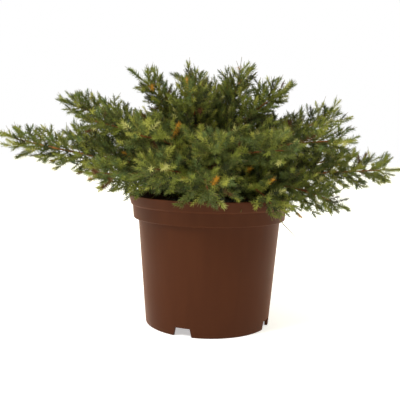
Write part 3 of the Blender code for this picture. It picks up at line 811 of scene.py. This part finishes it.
def scatter(name, spots, forms, finish, spread, seed):
    """A mesh of forms on spots. A spot is a place, a turn in Euler angles, a size and a form's number."""
    mesh = bpy.data.meshes.new(name + "_spots")
    mesh.from_pydata([tuple(spot[0]) for spot in spots], [], [])
    for number, (label, kind, field) in enumerate(SPOT_VALUES, 1):
        attribute = mesh.attributes.new(label, kind, "POINT")
        attribute.data.foreach_set(field, np.array([spot[number] for spot in spots]).ravel())
    values = {
        "Forms": forms,
        "Finish": finish,
        "Least size": 1.0 - spread,
        "Greatest size": 1.0 + spread,
        "Seed": seed,
    }
    result = grown(link(name + "_spots", mesh), *scatter_tree(), values, name)
    for label, _, _ in SPOT_VALUES:
        if label in result.data.attributes:
            result.data.attributes.remove(result.data.attributes[label])
    return result


def collect(name, things):
    """A collection of forms, in the order of their names, kept out of the scene."""
    forms = bpy.data.collections.new(name)
    for thing in things:
        bpy.context.scene.collection.objects.unlink(thing)
        forms.objects.link(thing)
    return forms


def discard(forms):
    """Takes the forms away once they are scattered."""
    for thing in list(forms.objects):
        bpy.data.objects.remove(thing, do_unlink=True)
    bpy.data.collections.remove(forms)


def soil_height(x, y):
    """The height of the lumpy soil at a place."""
    place = Vector((x, y, 0.0)) / SOIL_LUMP
    rough = noise.fractal(place, SOIL_LUMP_FADE, SOIL_LUMP_STEP, SOIL_LUMP_LAYERS)
    return SOIL_TOP - SOIL_SINK + SOIL_SWELL * rough


def crumb_forms(rng):
    """A few lumpy crumbs of compost."""
    things = []
    for number in range(CRUMB_FORMS):
        ball = bmesh.new()
        bmesh.ops.create_icosphere(ball, subdivisions=1, radius=1.0)
        for vert in ball.verts:
            vert.co *= rng.uniform(*CRUMB_LUMPS)
            vert.co.z *= CRUMB_FLATTEN
        mesh = bpy.data.meshes.new(f"crumb_{number}")
        ball.to_mesh(mesh)
        ball.free()
        things.append(link(f"crumb_{number}", mesh))
    return things


class JUNIPER_OT_soil(bpy.types.Operator):
    """Fill the pot with moist compost and strew crumbs on it"""

    bl_idname = "juniper.soil"
    bl_label = "Soil"

    def execute(self, context):
        profile = [(0, SOIL_TOP - SOIL_DEPTH), (SOIL_RADIUS - SOIL_DRAFT, SOIL_TOP - SOIL_DEPTH)]
        for ring in range(SOIL_RINGS):
            profile.append((SOIL_RADIUS * (1 - ring / SOIL_RINGS), SOIL_TOP))
        profile.append((0, SOIL_TOP))
        points, faces = turned(profile, SOIL_SIDES)
        shaped = [(x, y, soil_height(x, y) if z == SOIL_TOP else z) for x, y, z in points]
        finish = potting_soil(context.scene.juniper_colours.soil)
        soil = mesh_object("soil_surface", shaped, faces, finish)
        rng = random.Random(CRUMB_SEED)
        spots = []
        for _ in range(CRUMB_COUNT):
            radius = (SOIL_RADIUS - CRUMB_MARGIN) * math.sqrt(rng.uniform(CRUMB_INNER_SHARE, 1.0))
            angle = rng.uniform(0, math.tau)
            x, y = radius * math.cos(angle), radius * math.sin(angle)
            place = (x, y, soil_height(x, y))
            lean = [rng.uniform(-CRUMB_LEAN, CRUMB_LEAN) for _ in range(2)]
            turn = (*lean, angle * CRUMB_SPIN)
            size = CRUMB_SIZE * rng.uniform(*CRUMB_SIZES) ** CRUMB_SIZE_POWER
            spots.append((place, turn, size, rng.randrange(CRUMB_FORMS)))
        forms = collect("crumb_forms", crumb_forms(rng))
        crumbs = scatter("soil_crumbs", spots, forms, finish, CRUMB_SPREAD, CRUMB_SIZE_SEED)
        discard(forms)
        for piece in (soil, crumbs):
            place_piece(piece, ["soil"])
        return {"FINISHED"}


class Path:
    """A smooth curve between four corners, read by the distance along it."""

    def __init__(self, corners):
        first, second, third, last = (np.array(corner, float) for corner in corners)
        share = np.linspace(0, 1, PATH_POINTS)[:, None]
        rest = 1 - share
        self.points = first * rest**3 + 3 * second * share * rest**2
        self.points += 3 * third * share**2 * rest + last * share**3
        legs = np.linalg.norm(np.diff(self.points, axis=0), axis=1)
        self.marks = np.concatenate([[0.0], np.cumsum(legs)])
        self.length = float(self.marks[-1])

    def at(self, distance):
        """The place at a distance along the curve."""
        return Vector([float(np.interp(distance, self.marks, row)) for row in self.points.T])

    def heading(self, distance):
        """The curve's direction at a distance along it."""
        step = self.length / PATH_PARTS
        return (self.at(distance + step) - self.at(distance - step)).normalized()

    def distance_at_radius(self, radius):
        """How far along the curve it first stands this far from the pot's axis."""
        beyond = np.hypot(self.points[:, 0], self.points[:, 1]) >= radius
        return float(self.marks[int(np.argmax(beyond))])


def across(heading):
    """The side and the upper direction of something that runs along a heading."""
    reference = X if abs(heading.dot(Z)) > STEEP else Z
    side = heading.cross(reference).normalized()
    return side, side.cross(heading).normalized()


def trunk_axis(height):
    """The middle of the stem at a height above the ground: it leans, and bends once on the way."""
    share = (height - SOIL_TOP) / (TRUNK_TOP - SOIL_TOP)
    wave = TRUNK_WAVE * math.sin(math.tau * share)
    return TRUNK_LEAN * share + Vector((wave / 2, wave, height))


def trunk_radius(height):
    """The stem's mean radius: it tapers to its top and flares out at the soil."""
    share = (height - SOIL_TOP) / (TRUNK_TOP - SOIL_TOP)
    taper = TRUNK_RADIUS + (TRUNK_TOP_RADIUS - TRUNK_RADIUS) * share
    return taper + FLARE_RADIUS * math.exp(-(height - SOIL_TOP) / FLARE_HEIGHT)


def bark_radius(height, angle):
    """How far the bark stands from the stem's middle on a bearing, with the root lobes at its foot."""
    fade = math.exp((SOIL_TOP - height) / FLARE_HEIGHT)
    return trunk_radius(height) * (1 + LOBE_SHARE * math.cos(FLARE_LOBES * angle) * fade)


def bough_path(tier, number, row):
    """The curve from inside the stem's bark to the tip of a bough's mass."""
    _, bearing, reach, height, lift, nod = row
    swing = SWING if number % 2 else -SWING
    start_height = tier.start + tier.step * (number % tier.levels)
    toward = math.radians(bearing) + swing
    out = Vector((math.cos(toward), math.sin(toward), 0.0))
    start = trunk_axis(start_height) + out * trunk_radius(start_height) * BOUGH_SEAT
    tip_turn = math.radians(bearing)
    tip = Vector((reach * math.cos(tip_turn), reach * math.sin(tip_turn), height))
    run = (tip - start).length
    climb = Z * (tip.z - start.z)
    second = start + out * run * THIRD + climb * THIRD + Z * lift
    back = math.radians(bearing) - swing * SWING_BACK
    inward = Vector((math.cos(back), math.sin(back), 0.0))
    third = tip - inward * run * THIRD - climb * THIRD + Z * nod
    return Path((start, second, third, tip))


# A limb with its mass: its curve, where on it the mass starts, the radius of its root, half the
# width of the mass, and how its sprigs stand
Limb = namedtuple("Limb", "path start root spread growth")


def all_limbs():
    """The boughs of all tiers, and the leader that carries on from the stem's top."""
    limbs = []
    for tier in TIERS:
        for number, row in enumerate(tier.boughs):
            path = bough_path(tier, number, row)
            start = path.distance_at_radius(tier.split)
            limbs.append(Limb(path, start, tier.root, tier.spread, tier.growth))
    # The leader starts inside the stem's top, and its mass starts where it leaves it
    top = trunk_axis(TRUNK_TOP - CROWN_SINK)
    lean = CROWN_TIP - top
    path = Path((top, top + Z * lean.z * CROWN_RISE, CROWN_TIP - Z * lean.z * CROWN_FALL, CROWN_TIP))
    limbs.append(Limb(path, CROWN_SINK, TRUNK_TOP_RADIUS * CROWN_ROOT_SHARE, CROWN_SPREAD, HIGH_GROWTH))
    return limbs


class Bark:
    """Collects limbs with ridged bark, and a grain attribute that follows each of them."""

    def __init__(self):
        self.points, self.grain, self.faces = [], [], []

    def add(self, spine, headings, radii, sides, seed):
        """One limb. A radius is a number, or a function of the bearing round the limb."""
        first = len(self.points)
        along = 0.0
        for ring, (centre, heading, radius) in enumerate(zip(spine, headings, radii)):
            side, up = across(heading)
            if ring:
                along += (centre - spine[ring - 1]).length
            for number in range(sides):
                angle = math.tau * number / sides
                reach = radius(angle) if callable(radius) else radius
                around = Vector((math.cos(angle), math.sin(angle), 0.0))
                ridge = noise.noise(around * RIDGES + Vector((seed, 0.0, along * RIDGE_CHANGE)))
                knot = noise.noise(around * KNOTS + Vector((0.0, seed, along * KNOT_CHANGE)))
                reach *= 1 + RIDGE_DEPTH * ridge + KNOT_DEPTH * knot
                out = math.cos(angle) * side + math.sin(angle) * up
                self.points.append(centre + out * reach)
                self.grain.append((around.x * reach, around.y * reach, along + seed))
        for ring in range(len(spine) - 1):
            for number in range(sides):
                here = first + ring * sides + number
                beside = first + ring * sides + (number + 1) % sides
                self.faces.append((here, beside, beside + sides, here + sides))
        self.faces.append(tuple(range(first, first + sides)))
        self.faces.append(tuple(range(len(self.points) - sides, len(self.points))))

    def build(self, name, material):
        """All the limbs as one mesh."""
        thing = mesh_object(name, self.points, self.faces, material)
        grain = thing.data.attributes.new("grain", "FLOAT_VECTOR", "POINT")
        grain.data.foreach_set("vector", np.array(self.grain).ravel())
        return thing


def trunk_rings():
    """The stem's middle line, its headings and its radii by bearing, in steps of about 1.5 mm."""
    heights = [float(height) for height in np.linspace(SOIL_TOP - TRUNK_SINK, TRUNK_TOP, TRUNK_RINGS)]
    spine = [trunk_axis(height) for height in heights]
    radii = [lambda angle, h=height: bark_radius(max(h, SOIL_TOP), -angle) for height in heights]
    return spine, [Z] * len(spine), radii


def limb_rings(limb):
    """A limb's middle line, its headings and its radii, with a collar where it leaves the stem."""
    length = limb.path.length - SPRAY_LENGTH * BARK_SHARE
    count = max(LIMB_RINGS_LEAST, round(length / BOUGH_STEP))
    marks = [float(mark) for mark in np.linspace(0.0, length, count)]
    radii = []
    for mark in marks:
        radius = limb.root + (STEM_TIP_RADIUS - limb.root) * (mark / length) ** BOUGH_TAPER
        radii.append(radius * (1 + COLLAR_SWELL * math.exp(-mark / COLLAR_LENGTH)))
    return [limb.path.at(mark) for mark in marks], [limb.path.heading(mark) for mark in marks], radii


class JUNIPER_OT_limbs(bpy.types.Operator):
    """Grow the stem and the boughs with peeling orange-brown bark"""

    bl_idname = "juniper.limbs"
    bl_label = "Stem and boughs"

    def execute(self, context):
        colours = context.scene.juniper_colours
        bark = Bark()
        bark.add(*trunk_rings(), TRUNK_SIDES, TRUNK_SEED)
        for number, limb in enumerate(all_limbs()):
            bark.add(*limb_rings(limb), BOUGH_SIDES, BOUGH_SEED + number)
        limbs = bark.build("bark_limbs", fibrous_bark(colours.bark, colours.bark_dark))
        place_piece(limbs, ["trunk"] + nodes_named("bough_"))
        return {"FINISHED"}


# A twig: the points of its middle line, and its radius at its root
Twig = namedtuple("Twig", "points radius")


def turn_towards(heading, roll):
    """Euler angles that turn +Z to a heading, after a roll round it."""
    turn = heading.to_track_quat("Z", "Y").to_matrix() @ Matrix.Rotation(roll, 3, "Z")
    return tuple(turn.to_euler())


def keeps_clear(point, sizes):
    """Whether a needled point is clear of the pot and stays in the solids' box."""
    low, high = CAD_BOX
    over_pot = math.hypot(point.x, point.y) < sizes.rim_radius + RIM_ROOM
    if over_pot and point.z < sizes.pot_height + RIM_ROOM:
        return False
    return all(low[axis] < point[axis] < high[axis] for axis in range(3))


def deal_tint(rng, outer):
    """A finish for a shoot, by how far out in the crown it stands: darker inside, partly older needles and
    partly painted shade.
    """
    weights = [inner + (tip - inner) * outer for _, _, inner, tip in TINTS]
    return rng.choices(range(len(TINTS)), weights)[0]


def needle_chain(rng, sizes, curve, length, start, outer, spots):
    """Stands needle clusters along a shoot, and returns how many there was room for."""
    tint = deal_tint(rng, outer)
    count = max(1, round((length - start) / CLUSTER_LENGTH))
    placed = 0
    for number in range(count):
        mark = start + (length - start) * number / count
        here = curve(mark)
        heading = (curve(mark + CLUSTER_LOOK_AHEAD) - here).normalized()
        if not keeps_clear(here + heading * CLUSTER_LENGTH, sizes):
            break
        last = number == count - 1
        form = rng.randrange(CLUSTER_FORMS) + (CLUSTER_FORMS if last else 0)
        size = rng.uniform(*CLUSTER_SIZES) * (1.0 - CLUSTER_SHRINK * number / count)
        spots[tint].append((here, turn_towards(heading, rng.uniform(0, CLUSTER_ROLL)), size, form))
        placed += 1
    return placed


def bent(root, heading, lift, length):
    """A curve that leaves its root on a heading and bends towards a lift direction."""

    def at(distance):
        share = distance / length
        return root + heading * distance + lift * (length * 0.5 * share * share)

    return at


def grow_sprig(rng, sizes, root, heading, rise, length, outer, spots, twigs):
    """One sprig: a bent twig with needles, and side shoots in two loose rows along it."""
    curve = bent(root, heading, rise, length)
    bare = length * SPRIG_BARE
    if not needle_chain(rng, sizes, curve, length, bare, outer, spots):
        return
    line = [curve(length * step / SPRIG_STEPS) for step in range(SPRIG_STEPS + 1)]
    twigs.append(Twig(line, SPRIG_RADIUS))
    side, up = across(heading)
    mark, number = bare + sizes.side_pitch * 0.5, rng.randrange(2)
    while mark < length - SIDE_END_ROOM:
        left = 1 if number % 2 else -1
        roll = rng.uniform(-1.0, 1.0) * SIDE_FLATTEN
        roll += SIDE_UPTURN if rng.random() < SIDE_UPTURN_CHANCE else 0.0
        out = side * left * math.cos(roll) + up * math.sin(roll)
        lean = SIDE_LEAN + rng.uniform(-SIDE_LEAN_SPREAD, SIDE_LEAN_SPREAD)
        base = curve(mark)
        forward = (curve(mark + LOOK_AHEAD) - base).normalized()
        toward = (forward * math.cos(lean) + out * math.sin(lean)).normalized()
        reach = min(SIDE_MOST, SIDE_LEAST + (length - mark) * SIDE_GAIN) * rng.uniform(*SIDE_LENGTHS)
        shoot = bent(base, toward, forward * SIDE_FORWARD + Z * SIDE_RISE, reach)
        # Nearer the sprig's root the tints grow darker: partly older needles, partly painted shade
        fresh = outer * (ROOT_FRESHNESS_AND_LIGHT + (1 - ROOT_FRESHNESS_AND_LIGHT) * mark / length)
        if needle_chain(rng, sizes, shoot, reach, SIDE_BARE, fresh, spots):
            line = [shoot(reach * step / SHOOT_STEPS) for step in range(SHOOT_STEPS + 1)]
            twigs.append(Twig(line, SPRIG_RADIUS * SIDE_THINNER))
        mark += sizes.side_pitch * rng.uniform(*SIDE_STEPS)
        number += 1


def grow_mass(rng, sizes, limb, spots, twigs):
    """The sprigs of one mass: they wind up its stem, longest where they lie flat, and one ends it."""
    path, growth = limb.path, limb.growth
    tip_room = SPRAY_LENGTH * TIP_ROOM_SHARE
    end = path.length - tip_room
    mark, roll = limb.start * INNER_SHARE + SPRIG_START, rng.uniform(0, math.tau)
    while mark < end:
        share = max(0.0, (mark - limb.start) / (end - limb.start))
        heading = path.heading(mark)
        side, up = across(heading)
        roll += GOLDEN_TURN
        flat = abs(math.cos(roll))
        hangs = math.sin(roll) < 0
        spread = limb.spread * (1 - growth.taper * share**TAPER_POWER)
        height = UPRIGHT * (growth.hanging if hangs else UPRIGHT_SHARE)
        height *= 1 - THINNING * share**2
        lean = SPRIG_LEAN + rng.uniform(-SPRIG_LEAN_SPREAD, SPRIG_LEAN_SPREAD)
        out = side * math.cos(roll) + up * math.sin(roll)
        toward = (heading * math.cos(lean) + out * math.sin(lean)).normalized()
        length = spread * flat / math.sin(lean) + height * (1 - flat)
        length *= rng.uniform(SPRIG_SHORTEST, 1.0)
        rise = heading * SPRIG_FORWARD + Z * (growth.sink if hangs else growth.lift)
        # Darker tints inside the mass, partly older needles and partly painted shade; hanging sprigs are
        # darker still, painted shade under the mass
        outer = min(1.0, INNER_FRESHNESS_AND_LIGHT + (1 - INNER_FRESHNESS_AND_LIGHT) * share)
        outer *= HANGING_PAINTED_SHADE if math.sin(roll) < HANGING_FROM else 1.0
        grow_sprig(rng, sizes, path.at(mark), toward, rise, length, outer, spots, twigs)
        mark += sizes.sprig_pitch * growth.spacing
    leader = path.at(end)
    toward = (path.at(path.length) - leader).normalized()
    length = tip_room * TIP_SPRIG_SHARE
    grow_sprig(rng, sizes, leader, toward, Z * TIP_SPRIG_RISE, length, 1.0, spots, twigs)


def grow_foliage(sizes):
    """All the needle clusters, by finish, and all the twigs of the crown."""
    rng = random.Random(SPRIG_SEED)
    spots = [[] for _ in TINTS]
    twigs = []
    for limb in all_limbs():
        grow_mass(rng, sizes, limb, spots, twigs)
    twigs.append(Twig([Vector(point) for point in BARE_TWIG], SPRIG_RADIUS))
    return spots, twigs


def add_needle(points, faces, root, toward, reach, width):
    """A slim closed dart with three sides, flatter than wide."""
    first = len(points)
    side, up = across(toward)
    for corner in range(3):
        angle = math.tau * corner / 3
        flat = NEEDLE_FLATTEN if corner else 1.0
        points.append(root + (side * math.cos(angle) + up * math.sin(angle) * flat) * width / 2)
    points.append(root + toward * reach)
    faces.append((first + 2, first + 1, first))
    for corner in range(3):
        faces.append((first + corner, first + (corner + 1) % 3, first + 3))


def cluster_mesh(name, sizes, rng, is_tip):
    """Whorls of three needles on a short stretch of shoot. In a tip's cluster they close up."""
    points, faces = [], []
    length, width = sizes.needle_length, sizes.needle_width
    pitch = WHORL_PITCH * (TIP_PITCH_SHARE if is_tip else 1.0)
    for whorl in range(WHORLS):
        tilt = NEEDLE_TILT - (TIP_TILT_STEP * whorl if is_tip else 0)
        tilt += rng.uniform(-NEEDLE_TILT_SPREAD, NEEDLE_TILT_SPREAD)
        for number in range(3):
            angle = math.tau * (number / 3 + whorl / 6)
            angle += rng.uniform(-NEEDLE_TURN_SPREAD, NEEDLE_TURN_SPREAD)
            out = Vector((math.cos(angle), math.sin(angle), 0.0))
            toward = (Z * math.cos(tilt) + out * math.sin(tilt)).normalized()
            root = Z * (whorl * pitch) + out * NEEDLE_ROOT
            reach = length * rng.uniform(*NEEDLE_LENGTHS) * (TIP_LENGTH_SHARE if is_tip else 1.0)
            add_needle(points, faces, root, toward, reach, width)
    if is_tip:
        for number in range(2):
            angle = math.pi * number + rng.uniform(-TIP_NEEDLE_TURN, TIP_NEEDLE_TURN)
            out = Vector((math.cos(angle), math.sin(angle), 0.0))
            toward = (Z + out * TIP_NEEDLE_SPLAY).normalized()
            root = Z * WHORLS * WHORL_PITCH * TIP_NEEDLE_START
            add_needle(points, faces, root, toward, length * TIP_NEEDLE_SHARE, width)
    return mesh_object(name, points, faces, smooth=False)


def tube_tree():
    """Sweeps a small polygon along every curve, as thick as the curve's radius says."""
    tree, given, names = new_tree("twig_tubes", {"Sides": "NodeSocketInt", "Finish": "NodeSocketMaterial"})
    ring = add_node(
        tree, "GeometryNodeCurvePrimitiveCircle", {"Resolution": given.outputs["Sides"], "Radius": 1.0}
    )
    radius = add_node(tree, "GeometryNodeInputRadius")
    sweep = add_node(
        tree,
        "GeometryNodeCurveToMesh",
        {
            "Curve": given.outputs["Geometry"],
            "Profile Curve": ring.outputs[0],
            "Scale": radius.outputs[0],
            "Fill Caps": True,
        },
    )
    end_tree(tree, sweep.outputs[0], given)
    return tree, names


def twig_tubes(twigs, finish):
    """All the twigs as one mesh of thin three-sided tubes that taper to their tips."""
    curve = bpy.data.curves.new("twig_lines", "CURVE")
    curve.dimensions = "3D"
    for twig in twigs:
        line = curve.splines.new("POLY")
        last = len(twig.points) - 1
        line.points.add(last)
        for number, (point, place) in enumerate(zip(line.points, twig.points)):
            point.co = (*place, 1.0)
            point.radius = twig.radius * (1 - TWIG_TAPER * number / last)
    values = {"Sides": TWIG_SIDES, "Finish": finish}
    return grown(link("twig_lines", curve), *tube_tree(), values, "green_twigs")


class JUNIPER_OT_needles(bpy.types.Operator):
    """Stand whorls of needles on every shoot, one plain colour for a shoot"""

    bl_idname = "juniper.needles"
    bl_label = "Needles and twigs"

    def execute(self, context):
        sizes = context.scene.juniper_sizes
        masses = nodes_named("foliage_")
        spots, twigs = grow_foliage(sizes)
        rng = random.Random(CLUSTER_SEED)
        things = []
        for number in range(2 * CLUSTER_FORMS):
            things.append(cluster_mesh(f"cluster_{number}", sizes, rng, number >= CLUSTER_FORMS))
        forms = collect("needle_clusters", things)
        for (name, colour, _, _), places in zip(TINTS, spots):
            finish = waxy_needles(name, colour)
            label = f"needles_{name}"
            needles = scatter(label, places, forms, finish, CLUSTER_SIZE_SPREAD, CLUSTER_SIZE_SEED)
            place_piece(needles, masses)
        discard(forms)
        finish = green_twig(context.scene.juniper_colours.twig)
        place_piece(twig_tubes(twigs, finish), masses)
        return {"FINISHED"}


def hang_lamp(lamp):
    """A round soft lamp that faces the middle of the plant."""
    light = bpy.data.lights.new(lamp.name, "AREA")
    light.shape = "DISK"
    light.size = lamp.size
    light.energy = lamp.power
    thing = link(lamp.name, light)
    thing.location = lamp.place
    thing.rotation_euler = (PLANT_MIDDLE - lamp.place).to_track_quat("-Z", "Y").to_euler()


def studio_light():
    """White paper behind and overhead, and a dimmer room in front. The camera sees white everywhere."""
    world = bpy.data.worlds.new("studio")
    world.use_nodes = True
    tree = world.node_tree
    place = add_node(tree, "ShaderNodeTexCoord")
    parts = add_node(tree, "ShaderNodeSeparateXYZ", {"Vector": place.outputs["Generated"]})
    sides = []
    for axis, ends, dim in (("Y", LIT_FROM_BEHIND, ROOM_LIGHT), ("Z", LIT_FROM_ABOVE, 0.0)):
        ramp = {"Value": parts.outputs[axis], "From Min": ends[0], "From Max": ends[1], "To Min": dim}
        sides.append(add_node(tree, "ShaderNodeMapRange", ramp, interpolation_type="SMOOTHSTEP").outputs[0])
    both = add_node(tree, "ShaderNodeMath", {0: sides[0], 1: sides[1]}, operation="MAXIMUM")
    seen = add_node(tree, "ShaderNodeLightPath").outputs["Is Camera Ray"]
    strength = add_node(tree, "ShaderNodeMath", {0: both.outputs[0], 1: seen}, operation="MAXIMUM")
    # Light from the room is a little warm
    tone = add_node(
        tree,
        "ShaderNodeMix",
        {"Factor": seen, "A": (*linear(ROOM_COLOUR), 1.0), "B": (*linear("#FFFFFF"), 1.0)},
        data_type="RGBA",
    )
    background = tree.nodes["Background"]
    tree.links.new(tone.outputs["Result"], background.inputs["Color"])
    tree.links.new(strength.outputs[0], background.inputs["Strength"])
    return world


def floor_sheet():
    """A wide level sheet under the pot."""
    mesh = bpy.data.meshes.new("studio_floor")
    corners = [(-FLOOR_REACH, -FLOOR_REACH), (FLOOR_REACH, -FLOOR_REACH)]
    corners += [(FLOOR_REACH, FLOOR_REACH), (-FLOOR_REACH, FLOOR_REACH)]
    mesh.from_pydata([(x, y, 0.0) for x, y in corners], [], [(0, 1, 2, 3)])
    return link("studio_floor", mesh, studio_paper())


def photograph_camera():
    """The camera, at the photograph's angle."""
    lens = bpy.data.cameras.new("photograph")
    lens.lens = CAMERA_LENS
    lens.sensor_width = CAMERA_SENSOR
    camera = link("photograph", lens)
    camera.location = CAMERA_PLACE
    tilt = Matrix.Rotation(math.radians(90) + CAMERA_TILT, 3, "X")
    camera.rotation_euler = (tilt @ Matrix.Rotation(CAMERA_ROLL, 3, "Z")).to_euler()
    return camera


class JUNIPER_OT_stage(bpy.types.Operator):
    """Lay a pale floor, hang soft studio lights and set up the photograph's camera"""

    bl_idname = "juniper.stage"
    bl_label = "Stage"

    def execute(self, context):
        scene = context.scene
        floor_sheet()
        scene.world = studio_light()
        scene.view_settings.view_transform = "Standard"
        for lamp in LAMPS:
            hang_lamp(lamp)
        scene.camera = photograph_camera()
        return {"FINISHED"}


OPERATORS = (JUNIPER_OT_pot, JUNIPER_OT_soil, JUNIPER_OT_limbs, JUNIPER_OT_needles, JUNIPER_OT_stage)


class JUNIPER_PT_build(bpy.types.Panel):
    """The sizes, the colours and the steps of the potted juniper"""

    bl_label = "Potted juniper"
    bl_idname = "JUNIPER_PT_build"
    bl_space_type = "VIEW_3D"
    bl_region_type = "UI"
    bl_category = "Juniper"

    def draw(self, context):
        for group in (context.scene.juniper_sizes, context.scene.juniper_colours):
            box = self.layout.box()
            for name in group.__annotations__:
                box.prop(group, name)
        for operator in OPERATORS:
            self.layout.operator(operator.bl_idname)


CLASSES = (JuniperSizes, JuniperColours, *OPERATORS, JUNIPER_PT_build)


def register():
    for entry in CLASSES:
        bpy.utils.register_class(entry)
    bpy.types.Scene.juniper_sizes = bpy.props.PointerProperty(type=JuniperSizes)
    bpy.types.Scene.juniper_colours = bpy.props.PointerProperty(type=JuniperColours)


def unregister():
    del bpy.types.Scene.juniper_sizes
    del bpy.types.Scene.juniper_colours
    for entry in reversed(CLASSES):
        bpy.utils.unregister_class(entry)


def main():
    """Builds every piece."""
    register()
    bpy.ops.juniper.pot()
    bpy.ops.juniper.soil()
    bpy.ops.juniper.limbs()
    bpy.ops.juniper.needles()
    bpy.ops.juniper.stage()


if __name__ == "__main__":
    main()
